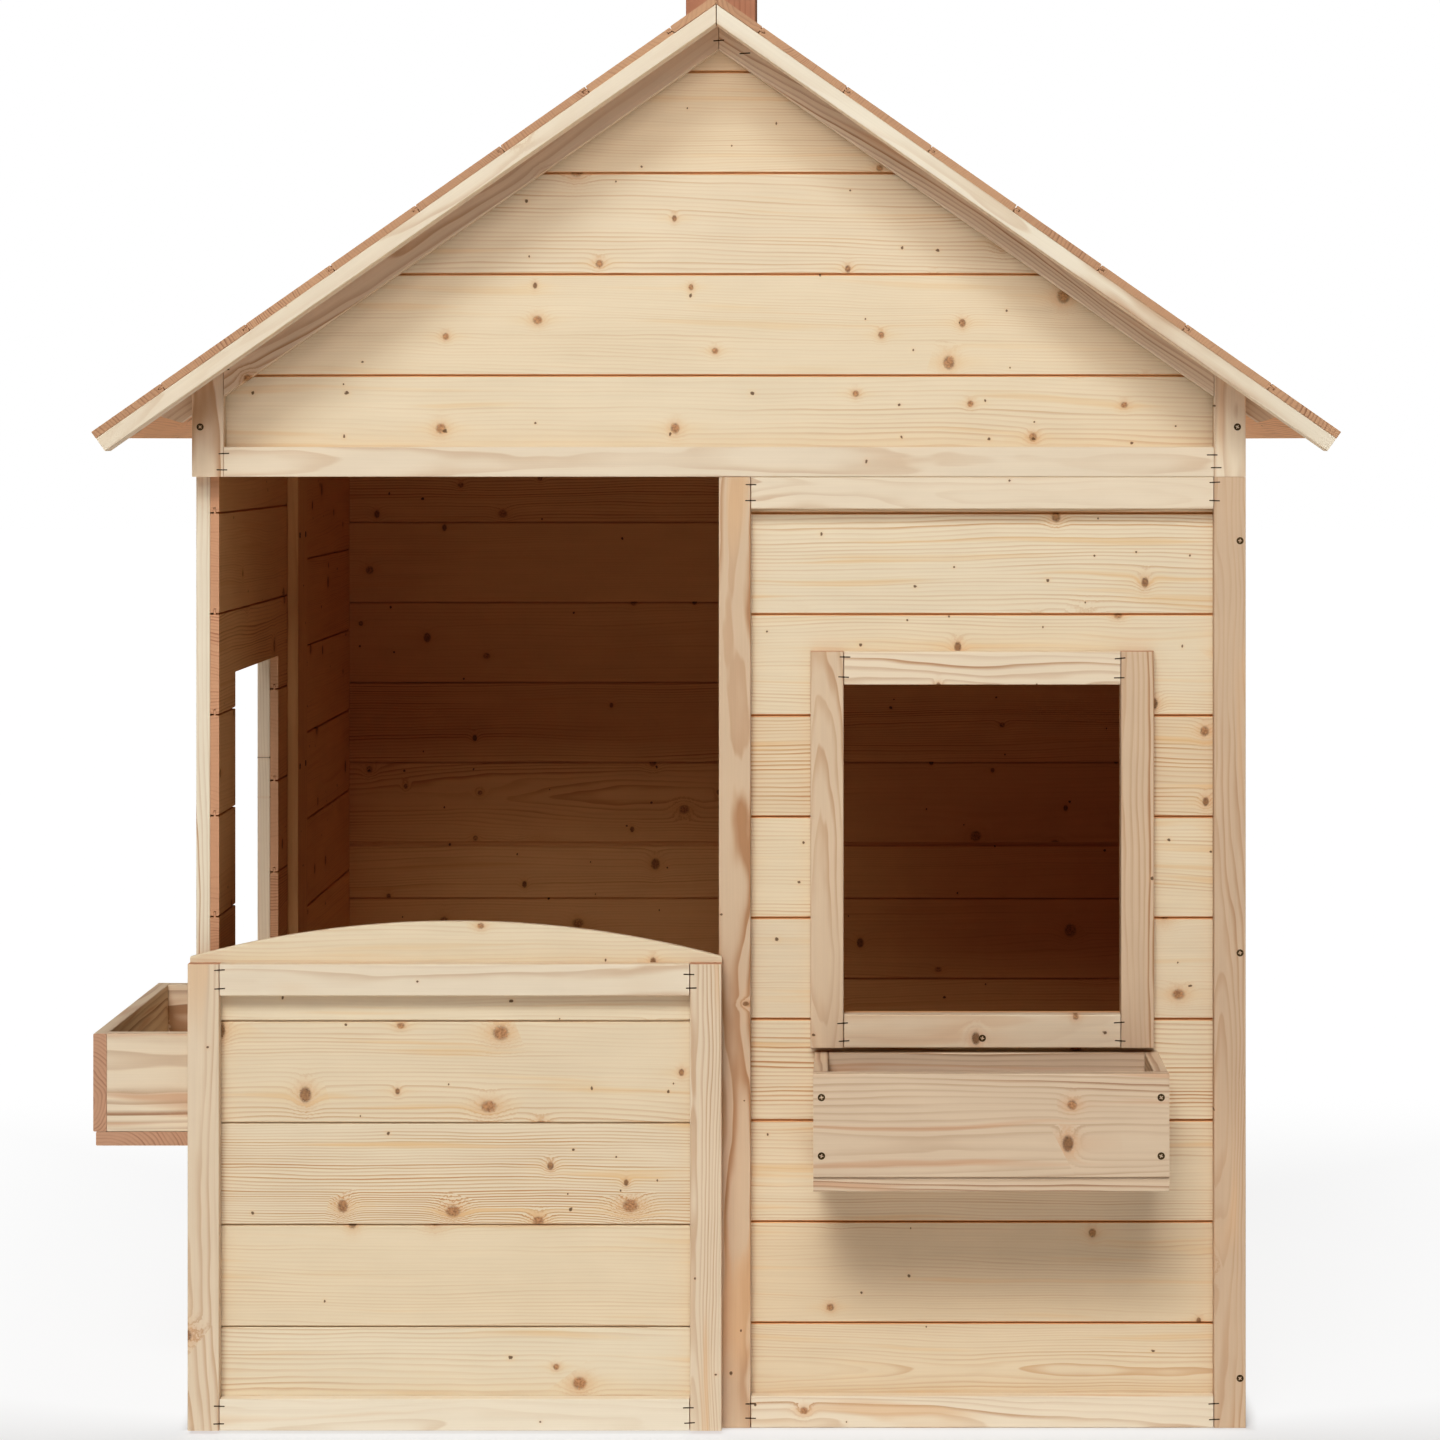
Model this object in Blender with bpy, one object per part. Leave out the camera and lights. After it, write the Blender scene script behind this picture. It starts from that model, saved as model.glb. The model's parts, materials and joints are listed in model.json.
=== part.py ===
"""Timber playhouse with a hinged half door, two window openings and two flower boxes.

The walls are flat-pack panels: a frame of flat battens outside, tongue-and-groove boards inside.
Metres, +Z up. The house faces -Y. The origin is the middle of the object's bounding box, on the ground.
"""

import math

import bmesh
import bpy
from mathutils import Vector

# Driving dimensions, in metres
GAP = 0.0003  # between pieces that touch
MODULE_WIDTH = 0.5965  # one front or rear panel
WALL_HEIGHT = 1.076
SIDE_PANEL_WIDTH = 0.532
HALF_PANEL_HEIGHT = 0.536
HALF_PANEL_JOINT = 0.004  # open joint between the stacked rear panels
BATTEN_WIDTH = 0.036
BATTEN_THICKNESS = 0.016
BOARD_THICKNESS = 0.010
BOARD_COVER = 0.115  # visible height of one board
VEE_HALF_WIDTH = 0.0014
VEE_DEPTH = 0.0016
CUTTER_MARGIN = 0.02

WINDOW_WIDTH = 0.314
WINDOW_HEIGHT = 0.3735
WINDOW_SILL = 0.4675
WINDOW_BATTEN = 0.0375
LEFT_WINDOW_RAISE = 0.006  # the side window and its flower box sit this much higher

ROOF_SLOPE = math.radians(35.0)
ROOF_APEX = 1.6025  # underside of the roof boards at the ridge
ROOF_HALF_SPAN = 0.6887  # to the underside corner of the eave
ROOF_BOARD_THICKNESS = 0.0085
ROOF_OVERHANG = 0.080  # in front of the front wall and behind the rear wall
RIDGE_STRIP = 0.057  # the ripped board next to the ridge
GABLE_RAIL = 0.034
GABLE_BATTEN = 0.034
BARGE_HEIGHT = 0.0175
BARGE_DEPTH = 0.034
ROOF_BATTEN_HEIGHT = 0.028
ROOF_BATTEN_DEPTH = 0.017
ROOF_BATTEN_REACH = 0.642
ROOF_BATTEN_START = 0.030
EAVE_BOARD_THICKNESS = 0.020
EAVE_NOTCH_DEPTH = 0.018

JOINT_BATTEN_WIDTH = 0.080
REAR_JOINT_BATTEN_WIDTH = 0.060
JOINT_BATTEN_THICKNESS = 0.014

DOOR_LAP = 0.004  # how far the door laps onto the middle post
DOOR_STANDOFF = 0.0005
DOOR_CLEARANCE = 0.004  # above the ground
DOOR_FRAME_TOP = 0.5285
DOOR_BATTEN = 0.0355
ARCH_SHOULDER = 0.5345
ARCH_CROWN = 0.5745
ARCH_SEGMENTS = 24
DOOR_POST_WIDTH = 0.036
DOOR_POST_HEIGHT = 0.528

HINGE_AXIS_OFFSET = 0.0023  # outside the wall's outer face
HINGE_BOTTOM = 0.008
HINGE_KNUCKLES = 5
HINGE_KNUCKLE_LENGTH = 0.103
HINGE_KNUCKLE_GAP = 0.0004
HINGE_KNUCKLE_RADIUS = 0.0020
HINGE_PIN_RADIUS = 0.0010
HINGE_BORE_RADIUS = 0.00109
HINGE_LEAF_THICKNESS = 0.0009
HINGE_LEAF_WIDTH = 0.018
HINGE_SIDES = 16

PLANTER_LENGTH = 0.390
PLANTER_DEPTH = 0.1485  # from the wall boards to the front face
PLANTER_BOARD_HEIGHT = 0.1135
PLANTER_BOARD = 0.016
PLANTER_TOP = 0.4240
PLANTER_BOTTOM_INSET = 0.0036
FRONT_PLANTER_SHIFT = 0.005  # to the right of the window's middle

CHIMNEY_WIDTH = 0.080
CHIMNEY_BOARD = 0.016
CHIMNEY_FRONT = 0.060
CHIMNEY_TOP = 1.735

# Derived dimensions
PANEL_THICKNESS = BATTEN_THICKNESS + GAP + BOARD_THICKNESS
HALF_WIDTH = MODULE_WIDTH
SIDE_FRONT = PANEL_THICKNESS + GAP
SIDE_REAR = SIDE_FRONT + 2 * SIDE_PANEL_WIDTH + GAP
WALL_DEPTH = SIDE_REAR + GAP + PANEL_THICKNESS
INNER_HALF_WIDTH = HALF_WIDTH - PANEL_THICKNESS
SLOPE_LENGTH = ROOF_HALF_SPAN / math.cos(ROOF_SLOPE)
EAVE_OUTER = ROOF_HALF_SPAN + ROOF_BOARD_THICKNESS * math.sin(ROOF_SLOPE)
PLANTER_FRONT = PLANTER_DEPTH - BATTEN_THICKNESS  # in front of the wall's outer face
LEFT_LIMIT = -(HALF_WIDTH + PLANTER_FRONT)
RIGHT_LIMIT = EAVE_OUTER
FRONT_LIMIT = -PLANTER_FRONT
REAR_LIMIT = WALL_DEPTH + ROOF_OVERHANG

# Material name: colour, roughness, metallic
FINISHES = {
    "frame_timber": ((0.80, 0.66, 0.46), 0.62, 0.0),
    "board_timber": ((0.76, 0.61, 0.41), 0.62, 0.0),
    "roof_timber": ((0.64, 0.42, 0.29), 0.68, 0.0),
    "planter_timber": ((0.70, 0.55, 0.38), 0.66, 0.0),
    "chimney_timber": ((0.48, 0.24, 0.16), 0.68, 0.0),
    "hinge_steel": ((0.22, 0.21, 0.19), 0.42, 1.0),
}


def clear_scene():
    for existing in list(bpy.data.objects):
        bpy.data.objects.remove(existing, do_unlink=True)


def finish_named(name):
    material = bpy.data.materials.get(name)
    if material:
        return material
    colour, roughness, metallic = FINISHES[name]
    material = bpy.data.materials.new(name)
    material.use_nodes = True
    shader = material.node_tree.nodes["Principled BSDF"]
    shader.inputs["Base Color"].default_value = (*colour, 1.0)
    shader.inputs["Roughness"].default_value = roughness
    shader.inputs["Metallic"].default_value = metallic
    return material


def empty(name, location, turn=0.0, parent=None):
    """A guide that pieces hang from. turn is about Z, in degrees."""
    guide = bpy.data.objects.new(name, None)
    guide.location = location
    guide.rotation_euler = (0.0, 0.0, math.radians(turn))
    guide.parent = parent
    bpy.context.scene.collection.objects.link(guide)
    return guide


def add_object(name, mesh_maker, finish, parent, location=(0.0, 0.0, 0.0)):
    mesh = bpy.data.meshes.new(name)
    bmesh.ops.recalc_face_normals(mesh_maker, faces=mesh_maker.faces)
    mesh_maker.to_mesh(mesh)
    mesh_maker.free()
    mesh.materials.append(finish_named(finish))
    piece = bpy.data.objects.new(name, mesh)
    piece.location = location
    piece.parent = parent
    bpy.context.scene.collection.objects.link(piece)
    return piece


def prism_mesh(outline, sweep):
    """A closed outline of 3-D points swept along a vector."""
    maker = bmesh.new()
    face = maker.faces.new([maker.verts.new(point) for point in outline])
    grown = bmesh.ops.extrude_face_region(maker, geom=[face], use_keep_orig=True)
    moved = [item for item in grown["geom"] if isinstance(item, bmesh.types.BMVert)]
    bmesh.ops.translate(maker, vec=sweep, verts=moved)
    return maker


def prism(name, outline, sweep, finish, parent, location=(0.0, 0.0, 0.0)):
    return add_object(name, prism_mesh(outline, sweep), finish, parent, location)


def block(name, low, high, finish, parent):
    """A rectangular piece between two corners of its parent's frame, with its origin at the low corner."""
    size = Vector(high) - Vector(low)
    base = [(0, 0, 0), (size.x, 0, 0), (size.x, size.y, 0), (0, size.y, 0)]
    return prism(name, base, (0, 0, size.z), finish, parent, low)


def ring(name, outer, inner, thickness, finish, parent, location=(0.0, 0.0, 0.0)):
    """Battens joined end to end round an opening: two outlines in the XZ plane, one inside the other."""
    maker = bmesh.new()
    loops = [[maker.verts.new((x, 0.0, z)) for x, z in loop] for loop in (outer, inner)]
    count = len(outer)
    faces = []
    for i in range(count):
        j = (i + 1) % count
        faces.append(maker.faces.new((loops[0][i], loops[0][j], loops[1][j], loops[1][i])))
    grown = bmesh.ops.extrude_face_region(maker, geom=faces, use_keep_orig=True)
    moved = [item for item in grown["geom"] if isinstance(item, bmesh.types.BMVert)]
    bmesh.ops.translate(maker, vec=(0, thickness, 0), verts=moved)
    return add_object(name, maker, finish, parent, location)


def rectangle(low_x, low_z, high_x, high_z):
    return [(low_x, low_z), (high_x, low_z), (high_x, high_z), (low_x, high_z)]


def grooved_outline(height, joints):
    """(depth, rise) of boards edge to edge, with a V at each joint on both faces."""
    face = [(0.0, 0.0)]
    for joint in joints:
        face += [(0.0, joint - VEE_HALF_WIDTH), (VEE_DEPTH, joint), (0.0, joint + VEE_HALF_WIDTH)]
    face.append((0.0, height))
    back = [(BOARD_THICKNESS - depth, rise) for depth, rise in reversed(face)]
    return face + back


def joints_between(height, first=BOARD_COVER):
    """Heights of the board joints, a full board apart from the first one up."""
    count = int((height - VEE_HALF_WIDTH * 2 - first) / BOARD_COVER) + 1
    return [first + BOARD_COVER * i for i in range(count)]


def board_wall(name, width, height, joints, parent, location):
    outline = [(0.0, depth, rise) for depth, rise in grooved_outline(height, joints)]
    return prism(name, outline, (width, 0, 0), "board_timber", parent, location)


def cut_with(piece, cutter, operation):
    cutter.hide_render = True
    cutter.display_type = "WIRE"
    modifier = piece.modifiers.new(cutter.name, "BOOLEAN")
    modifier.operation = operation
    modifier.object = cutter


def boards_trimmed(name, outline, joints_from_base, parent, location):
    """Boards cut to an outline in the XZ plane. The base of the outline is at rise 0."""
    margin = CUTTER_MARGIN
    xs = [x for x, _ in outline]
    top = max(z for _, z in outline) + margin
    joints = [joint + margin for joint in joints_from_base]
    raw = [(min(xs) - margin, depth, rise - margin) for depth, rise in grooved_outline(top + margin, joints)]
    piece = prism(name, raw, (max(xs) - min(xs) + 2 * margin, 0, 0), "board_timber", parent, location)
    shape = [(x, -margin, z) for x, z in outline]
    sweep = (0, BOARD_THICKNESS + 2 * margin, 0)
    cutter = prism(name + "_outline", shape, sweep, "board_timber", parent, location)
    cut_with(piece, cutter, "INTERSECT")
    return piece


# Walls


def wall_panel(name, wall, start, base, width, height, upside_down=False):
    """One panel on a wall guide, from start along the wall and base up. Returns its boards."""
    inner = rectangle(BATTEN_WIDTH, BATTEN_WIDTH, width - BATTEN_WIDTH, height - BATTEN_WIDTH)
    frame_place = (start, 0.0, base)
    outer = rectangle(0, 0, width, height)
    ring(name + "_frame", outer, inner, BATTEN_THICKNESS, "frame_timber", wall, frame_place)
    joints = joints_between(height)
    if upside_down:
        joints = [height - joint for joint in reversed(joints)]
    boards_place = (start, BATTEN_THICKNESS + GAP, base)
    return board_wall(name + "_boards", width, height, joints, wall, boards_place)


def window(name, wall, boards, middle, sill):
    """A batten frame round an opening, on the outside of a panel's boards, and the opening cut in them."""
    half = WINDOW_WIDTH / 2
    inner = rectangle(-half, 0, half, WINDOW_HEIGHT)
    edge = WINDOW_BATTEN
    outer = rectangle(-half - edge, -edge, half + edge, WINDOW_HEIGHT + edge)
    ring(name + "_frame", outer, inner, BATTEN_THICKNESS, "frame_timber", wall, (middle, 0.0, sill))
    shape = [(x, 0.0, z) for x, z in inner]
    sweep = (0, 2 * PANEL_THICKNESS, 0)
    cutter = prism(name + "_cutter", shape, sweep, "board_timber", wall, (middle, 0.0, sill))
    cut_with(boards, cutter, "DIFFERENCE")


def make_front_wall(wall):
    boards = wall_panel("front_panel", wall, MODULE_WIDTH, 0.0, MODULE_WIDTH, WALL_HEIGHT)
    window("front_window", wall, boards, 1.5 * MODULE_WIDTH, WINDOW_SILL)
    planter("front_planter", wall, 1.5 * MODULE_WIDTH + FRONT_PLANTER_SHIFT, PLANTER_TOP)


def make_left_wall(wall):
    wall_panel("left_rear_panel", wall, 0.0, 0.0, SIDE_PANEL_WIDTH, WALL_HEIGHT, upside_down=True)
    start = SIDE_PANEL_WIDTH + GAP
    boards = wall_panel("left_front_panel", wall, start, 0.0, SIDE_PANEL_WIDTH, WALL_HEIGHT)
    middle = start + SIDE_PANEL_WIDTH / 2
    window("left_window", wall, boards, middle, WINDOW_SILL + LEFT_WINDOW_RAISE)
    planter("left_planter", wall, middle, PLANTER_TOP + LEFT_WINDOW_RAISE)
    joint_batten("left_joint_batten", wall, SIDE_PANEL_WIDTH + GAP / 2, JOINT_BATTEN_WIDTH)


def make_right_wall(wall):
    wall_panel("right_front_panel", wall, 0.0, 0.0, SIDE_PANEL_WIDTH, WALL_HEIGHT)
    start = SIDE_PANEL_WIDTH + GAP
    wall_panel("right_rear_panel", wall, start, 0.0, SIDE_PANEL_WIDTH, WALL_HEIGHT, upside_down=True)
    joint_batten("right_joint_batten", wall, SIDE_PANEL_WIDTH + GAP / 2, JOINT_BATTEN_WIDTH)


def make_rear_wall(wall):
    width = MODULE_WIDTH - GAP / 2
    upper_base = HALF_PANEL_HEIGHT + HALF_PANEL_JOINT
    for side, start in (("right", 0.0), ("left", MODULE_WIDTH + GAP / 2)):
        for level, base in (("lower", 0.0), ("upper", upper_base)):
            wall_panel(f"rear_{level}_{side}_panel", wall, start, base, width, HALF_PANEL_HEIGHT)
    joint_batten("rear_joint_batten", wall, MODULE_WIDTH, REAR_JOINT_BATTEN_WIDTH)


def joint_batten(name, wall, middle, width):
    """An upright batten inside a wall, over the joint between two panels."""
    near = PANEL_THICKNESS + GAP
    low = (middle - width / 2, near, 0.0)
    high = (middle + width / 2, near + JOINT_BATTEN_THICKNESS, WALL_HEIGHT)
    block(name, low, high, "frame_timber", wall)


def planter(name, wall, middle, top):
    """A flower box hung on the wall boards: front, two ends, back and bottom boards."""
    near = BATTEN_THICKNESS
    front = near - PLANTER_DEPTH
    base = top - PLANTER_BOARD_HEIGHT
    left = middle - PLANTER_LENGTH / 2
    right = middle + PLANTER_LENGTH / 2
    thick = PLANTER_BOARD
    pieces = {
        "front_board": ((left, front, base), (right, front + thick, top)),
        "end_board_a": ((left, front + thick + GAP, base), (left + thick, near, top)),
        "end_board_b": ((right - thick, front + thick + GAP, base), (right, near, top)),
        "back_board": ((left + thick + GAP, near - thick, base), (right - thick - GAP, near, top)),
        "bottom_board": (
            (left, front + PLANTER_BOTTOM_INSET, base - GAP - thick),
            (right, near, base - GAP),
        ),
    }
    for part, (low, high) in pieces.items():
        block(f"{name}_{part}", low, high, "planter_timber", wall)


# Gables, eaves and roof


def roof_underside(x):
    return ROOF_APEX - abs(x) * math.tan(ROOF_SLOPE)


def gable_outline():
    """The gable's outline, from its base at rise 0."""
    base = WALL_HEIGHT + GAP
    drop = GAP / math.cos(ROOF_SLOPE)
    half = HALF_WIDTH
    shoulder = roof_underside(half) - drop - base
    apex = roof_underside(0.0) - drop - base
    return [(-half, 0.0), (half, 0.0), (half, shoulder), (0.0, apex), (-half, shoulder)]


def gable_opening():
    outline = gable_outline()
    half = HALF_WIDTH - BATTEN_WIDTH
    drop = GABLE_BATTEN / math.cos(ROOF_SLOPE)
    apex = outline[3][1] - drop
    shoulder = apex - half * math.tan(ROOF_SLOPE)
    return [(-half, GABLE_RAIL), (half, GABLE_RAIL), (half, shoulder), (0.0, apex), (-half, shoulder)]


def make_gable(side, wall):
    place = (HALF_WIDTH, 0.0, WALL_HEIGHT + GAP)
    name = f"{side}_gable"
    ring(name + "_frame", gable_outline(), gable_opening(), BATTEN_THICKNESS, "frame_timber", wall, place)
    boards_place = (HALF_WIDTH, BATTEN_THICKNESS + GAP, WALL_HEIGHT + GAP)
    outline = gable_outline()
    boards_trimmed(name + "_boards", outline, joints_between(outline[3][1]), wall, boards_place)


def slope_point(along, rise):
    """(x, z) from a distance down the roof slope and a height above the underside."""
    x = along * math.cos(ROOF_SLOPE) + rise * math.sin(ROOF_SLOPE)
    z = ROOF_APEX - along * math.sin(ROOF_SLOPE) + rise * math.cos(ROOF_SLOPE)
    return x, z


def ridge_cut(rise):
    """How far down the slope the upright ridge cut is, at a height above the underside."""
    return GAP / 2 / math.cos(ROOF_SLOPE) - rise * math.tan(ROOF_SLOPE)


def roof_boards_outline():
    joints = joints_between(SLOPE_LENGTH, RIDGE_STRIP)
    lower = [(ridge_cut(0.0), 0.0)]
    for joint in joints:
        lower += [(joint - VEE_HALF_WIDTH, 0.0), (joint, VEE_DEPTH), (joint + VEE_HALF_WIDTH, 0.0)]
    lower.append((SLOPE_LENGTH, 0.0))
    upper = [(along, ROOF_BOARD_THICKNESS - rise) for along, rise in reversed(lower[1:])]
    upper.append((ridge_cut(ROOF_BOARD_THICKNESS), ROOF_BOARD_THICKNESS))
    return lower + upper


def rafter_outline(height, start, end):
    """A batten under the roof boards. With start 0 it meets its pair in an upright cut at the ridge."""
    top, bottom = -GAP, -GAP - height
    near_top = max(start, ridge_cut(top))
    near_bottom = max(start, ridge_cut(bottom))
    return [(near_bottom, bottom), (end, bottom), (end, top), (near_top, top)]


def roof_piece(name, guide, outline, start, depth, finish):
    points = [(x, start, z) for x, z in (slope_point(along, rise) for along, rise in outline)]
    return prism(name, points, (0, depth, 0), finish, guide)


def make_roof_side(side, guide):
    """One roof slope on a guide whose +X runs down the slope and whose Y spans the roof's depth."""
    full = WALL_DEPTH + 2 * ROOF_OVERHANG
    roof_piece(f"{side}_roof_boards", guide, roof_boards_outline(), -full / 2, full, "roof_timber")
    barge = rafter_outline(BARGE_HEIGHT, 0.0, SLOPE_LENGTH)
    reach = ROOF_BATTEN_REACH / math.cos(ROOF_SLOPE)
    batten = rafter_outline(ROOF_BATTEN_HEIGHT, ROOF_BATTEN_START, reach)
    inner = WALL_DEPTH / 2 - SIDE_FRONT - ROOF_BATTEN_DEPTH
    ends = (("front", -1.0), ("rear", 1.0)) if side == "right" else (("rear", -1.0), ("front", 1.0))
    for end, direction in ends:
        low = -full / 2 if direction < 0 else full / 2 - BARGE_DEPTH
        roof_piece(f"{side}_{end}_bargeboard", guide, barge, low, BARGE_DEPTH, "frame_timber")
        low = -inner - ROOF_BATTEN_DEPTH if direction < 0 else inner
        roof_piece(f"{side}_{end}_roof_batten", guide, batten, low, ROOF_BATTEN_DEPTH, "frame_timber")


def make_eave_board(name, wall, length):
    """The board on a side wall's top, notched at both ends for the roof battens."""
    base = WALL_HEIGHT + GAP
    top = roof_underside(HALF_WIDTH) - 2 * GAP
    notch = top - ROOF_BATTEN_HEIGHT / math.cos(ROOF_SLOPE) - 4 * GAP
    outline = [
        (0.0, base),
        (length, base),
        (length, notch),
        (length - EAVE_NOTCH_DEPTH, notch),
        (length - EAVE_NOTCH_DEPTH, top),
        (EAVE_NOTCH_DEPTH, top),
        (EAVE_NOTCH_DEPTH, notch),
        (0.0, notch),
    ]
    points = [(x, 0.0, z) for x, z in outline]
    prism(name, points, (0, EAVE_BOARD_THICKNESS, 0), "frame_timber", wall)


def make_chimney(house):
    """Four boards in a square over the ridge, their feet cut to the slopes."""
    lift = GAP + ROOF_BOARD_THICKNESS / math.cos(ROOF_SLOPE)
    half = CHIMNEY_WIDTH / 2
    inner = half - CHIMNEY_BOARD

    def foot(x):
        return roof_underside(x) + lift

    feet = [(-half, foot(half)), (0.0, foot(0.0)), (half, foot(half))]
    gabled = feet + [(half, CHIMNEY_TOP), (-half, CHIMNEY_TOP)]
    for end, start in (("front", CHIMNEY_FRONT), ("rear", CHIMNEY_FRONT + CHIMNEY_WIDTH - CHIMNEY_BOARD)):
        points = [(x, start, z) for x, z in gabled]
        prism(f"chimney_{end}_board", points, (0, CHIMNEY_BOARD, 0), "chimney_timber", house)
    for side, sign in (("left", -1.0), ("right", 1.0)):
        outline = [(half, foot(half)), (inner, foot(inner)), (inner, CHIMNEY_TOP), (half, CHIMNEY_TOP)]
        start = CHIMNEY_FRONT + CHIMNEY_BOARD + GAP
        points = [(sign * x, start, z) for x, z in outline]
        span = CHIMNEY_WIDTH - 2 * (CHIMNEY_BOARD + GAP)
        prism(f"chimney_{side}_board", points, (0, span, 0), "chimney_timber", house)


# Half door and its hinge


def arch_outline(width):
    """The door boards' outline: straight sides and an arc over the top, from the door's lower left corner."""
    rise = ARCH_CROWN - ARCH_SHOULDER
    radius = (width**2 / 4 + rise**2) / (2 * rise)
    reach = math.asin(width / 2 / radius)
    shoulder = ARCH_SHOULDER - DOOR_CLEARANCE
    outline = [(0.0, 0.0), (width, 0.0)]
    for i in range(ARCH_SEGMENTS + 1):
        angle = reach * (1 - 2 * i / ARCH_SEGMENTS)
        x = width / 2 + radius * math.sin(angle)
        outline.append((x, shoulder + radius * (math.cos(angle) - math.cos(reach))))
    return outline


def make_door(pivot):
    """The door, hung from a guide on the hinge axis."""
    width = MODULE_WIDTH + DOOR_LAP
    height = DOOR_FRAME_TOP - DOOR_CLEARANCE
    left = HINGE_AXIS_OFFSET
    front = -DOOR_STANDOFF / 2 - PANEL_THICKNESS
    edge = DOOR_BATTEN
    inner = rectangle(edge, edge, width - edge, height - edge)
    outer = rectangle(0, 0, width, height)
    place = (left, front, DOOR_CLEARANCE)
    ring("door_frame", outer, inner, BATTEN_THICKNESS, "frame_timber", pivot, place)
    boards_place = (left, front + BATTEN_THICKNESS + GAP, DOOR_CLEARANCE)
    joints = joints_between(ARCH_SHOULDER - DOOR_CLEARANCE)
    boards_trimmed("door_boards", arch_outline(width), joints, pivot, boards_place)


def knuckle_heights(turn):
    """The (low, high) of every other knuckle. turn 0 is the fixed leaf's, 1 the moving leaf's."""
    for i in range(turn, HINGE_KNUCKLES, 2):
        low = HINGE_BOTTOM + i * HINGE_KNUCKLE_LENGTH
        yield low + HINGE_KNUCKLE_GAP / 2, low + HINGE_KNUCKLE_LENGTH - HINGE_KNUCKLE_GAP / 2


def knuckle(name, pivot, low, high):
    """A tube round the hinge axis."""
    maker = bmesh.new()
    rings = []
    for radius in (HINGE_KNUCKLE_RADIUS, HINGE_BORE_RADIUS):
        turns = [math.tau * i / HINGE_SIDES for i in range(HINGE_SIDES)]
        rings.append([maker.verts.new((radius * math.cos(t), radius * math.sin(t), low)) for t in turns])
    faces = []
    for i in range(HINGE_SIDES):
        j = (i + 1) % HINGE_SIDES
        faces.append(maker.faces.new((rings[0][i], rings[0][j], rings[1][j], rings[1][i])))
    grown = bmesh.ops.extrude_face_region(maker, geom=faces, use_keep_orig=True)
    moved = [item for item in grown["geom"] if isinstance(item, bmesh.types.BMVert)]
    bmesh.ops.translate(maker, vec=(0, 0, high - low), verts=moved)
    return add_object(name, maker, "hinge_steel", pivot)


def make_hinge_leaf(name, pivot, direction, turn):
    """A leaf beside the axis, reaching out in +Y or -Y, with a tab to each of its knuckles."""
    face = HINGE_AXIS_OFFSET - GAP
    back = face - HINGE_LEAF_THICKNESS
    clear = HINGE_KNUCKLE_RADIUS + GAP
    top = HINGE_BOTTOM + HINGE_KNUCKLES * HINGE_KNUCKLE_LENGTH
    near, far = sorted((direction * clear, direction * HINGE_LEAF_WIDTH))
    leaf = block(name, (back, near, HINGE_BOTTOM), (face, far, top), "hinge_steel", pivot)
    root = HINGE_KNUCKLE_RADIUS * 0.45
    overlap = clear + GAP
    for i, (low, high) in enumerate(knuckle_heights(turn)):
        tube = knuckle(f"{name}_knuckle_{i}", pivot, low, high)
        near, far = sorted((direction * root, direction * overlap))
        tab_low = (back, near, low + HINGE_KNUCKLE_GAP)
        tab_high = (face, far, high - HINGE_KNUCKLE_GAP)
        tab = block(f"{name}_tab_{i}", tab_low, tab_high, "hinge_steel", pivot)
        cut_with(leaf, tab, "UNION")
        cut_with(leaf, tube, "UNION")


def make_hinge(pivot):
    make_hinge_leaf("hinge_fixed_leaf", pivot, 1.0, 0)
    make_hinge_leaf("hinge_moving_leaf", pivot, -1.0, 1)
    turns = [math.tau * i / HINGE_SIDES for i in range(HINGE_SIDES)]
    circle = [(HINGE_PIN_RADIUS * math.cos(t), HINGE_PIN_RADIUS * math.sin(t), HINGE_BOTTOM) for t in turns]
    prism("hinge_pin", circle, (0, 0, HINGE_KNUCKLES * HINGE_KNUCKLE_LENGTH), "hinge_steel", pivot)


def make_door_post(house):
    """The upright that stands the hinge forward of the side wall's edge."""
    low = (-HALF_WIDTH, 0.0, 0.0)
    high = (-HALF_WIDTH + DOOR_POST_WIDTH, PANEL_THICKNESS, DOOR_POST_HEIGHT)
    block("door_post", low, high, "frame_timber", house)


def build():
    clear_scene()
    middle = ((LEFT_LIMIT + RIGHT_LIMIT) / 2, (FRONT_LIMIT + REAR_LIMIT) / 2)
    house = empty("house_middle", (-middle[0], -middle[1], 0.0))
    front = empty("front_wall", (-HALF_WIDTH, 0.0, 0.0), 0.0, house)
    right = empty("right_wall", (HALF_WIDTH, SIDE_FRONT, 0.0), 90.0, house)
    rear = empty("rear_wall", (HALF_WIDTH, WALL_DEPTH, 0.0), 180.0, house)
    left = empty("left_wall", (-HALF_WIDTH, SIDE_REAR, 0.0), -90.0, house)
    make_front_wall(front)
    make_left_wall(left)
    make_right_wall(right)
    make_rear_wall(rear)
    make_gable("front", front)
    make_gable("rear", rear)
    side_length = 2 * SIDE_PANEL_WIDTH + GAP
    make_eave_board("left_eave_board", left, side_length)
    make_eave_board("right_eave_board", right, side_length)
    ridge = (0.0, WALL_DEPTH / 2, 0.0)
    make_roof_side("right", empty("right_slope", ridge, 0.0, house))
    make_roof_side("left", empty("left_slope", ridge, 180.0, house))
    make_chimney(house)
    make_door_post(house)
    pivot_place = (-HALF_WIDTH - HINGE_AXIS_OFFSET, -DOOR_STANDOFF / 2, 0.0)
    pivot = empty("door_pivot", pivot_place, 0.0, house)
    make_door(pivot)
    make_hinge(pivot)
    bpy.context.view_layer.update()


build()
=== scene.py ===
"""Looks of the timber playhouse: boards and battens with knots and grain, staples and screws."""

import json
import math
import random

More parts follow.
